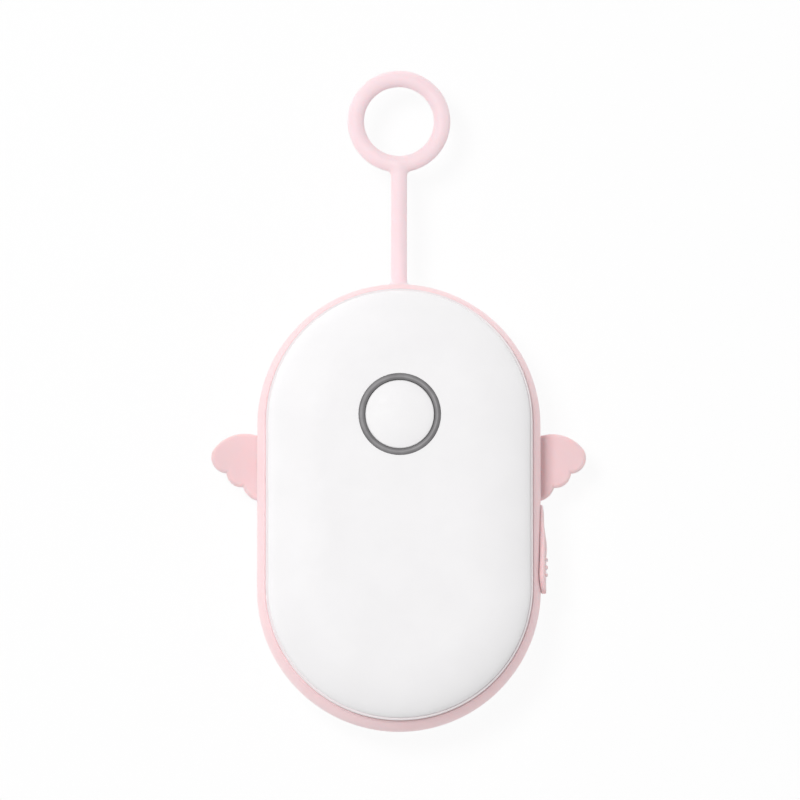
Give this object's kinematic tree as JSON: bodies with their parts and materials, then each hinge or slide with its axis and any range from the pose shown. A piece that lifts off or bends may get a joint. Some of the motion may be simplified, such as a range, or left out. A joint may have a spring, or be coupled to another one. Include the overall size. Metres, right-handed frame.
{
  "type": "rechargeable hand warmer",
  "caption": "Pocket hand warmer: white domed case, pink silicone band with wings, wrist loop with ring, press button in a metal bezel, flap over the charge port.",
  "frame": {"origin": "middle of the back cover's flat resting face", "axes": "+Z out of the front face, +Y along the case towards the wrist loop, +X towards the charge port"},
  "size_m": [0.0756, 0.1341, 0.0255],
  "materials": {
    "white_shell": "satin moulded white",
    "white_cap": "satin moulded white, slightly translucent",
    "pink_silicone": "matte pale pink silicone",
    "plated_metal": "dark plated ring",
    "frame_plastic": "natural moulded",
    "heat_aluminium": "rolled sheet",
    "polyimide": "amber film",
    "foam": "closed-cell foam",
    "cell_pouch": "laminated pouch",
    "board_green": "solder mask",
    "black_plastic": "moulded",
    "lead_red": "insulated wire",
    "insulation_paper": "insulating paper",
    "ferrite": "moulded ferrite",
    "ceramic_tan": "ceramic",
    "clear_light": "clear resin",
    "steel": "stamped"
  },
  "bodies": {
    "case": {"front_cover": "white_shell", "back_cover": "white_shell", "mid_frame": "frame_plastic", "silicone_band": "pink_silicone", "button_bezel": "plated_metal", "switch_body": "black_plastic", "front_heat_plate": "heat_aluminium", "back_heat_plate": "heat_aluminium", "front_heater_film": "polyimide", "back_heater_film": "polyimide", "front_foam_pad": "foam", "back_foam_pad": "foam", "thermistor": "black_plastic", "battery_cell": "cell_pouch", "battery_board": "board_green", "battery_leads": "lead_red", "insulation_sheet": "insulation_paper", "control_board": "board_green", "board_screws": "steel", "control_chips": "black_plastic", "power_coil": "ferrite", "capacitors": "ceramic_tan", "indicator_lights": "clear_light", "socket_shell": "steel", "socket_tongue": "black_plastic"},
    "button": {"power_button": "white_cap"},
    "plunger": {"switch_plunger": "black_plastic"},
    "flap": {"port_flap": "pink_silicone"},
    "loop": {"wrist_loop": "pink_silicone"}
  },
  "joints": [
    {"name": "button_press", "type": "slide", "parent": "case", "child": "button", "axis": [0, 0, -1], "range_m": [0, 0.00035], "stiffness_N_per_m": 600},
    {"name": "plunger_press", "type": "slide", "parent": "case", "child": "plunger", "axis": [0, 0, -1], "range_m": [0, 0.00035]},
    {"name": "flap_hinge", "type": "hinge", "parent": "case", "child": "flap", "pos_m": [0.0289, 0.0002, 0.0125], "axis": [0, 0, 1], "range_deg": [0, 110], "stiffness_Nm_per_rad": 0.0002},
    {"name": "loop_flex", "type": "hinge", "parent": "case", "child": "loop", "pos_m": [0, 0.0462, 0.0125], "axis": [1, 0, 0], "range_deg": [-55, 55], "stiffness_Nm_per_rad": 0.002}
  ],
  "couplings": [
    {"joint": "plunger_press", "follows": "button_press", "ratio": 1}
  ]
}
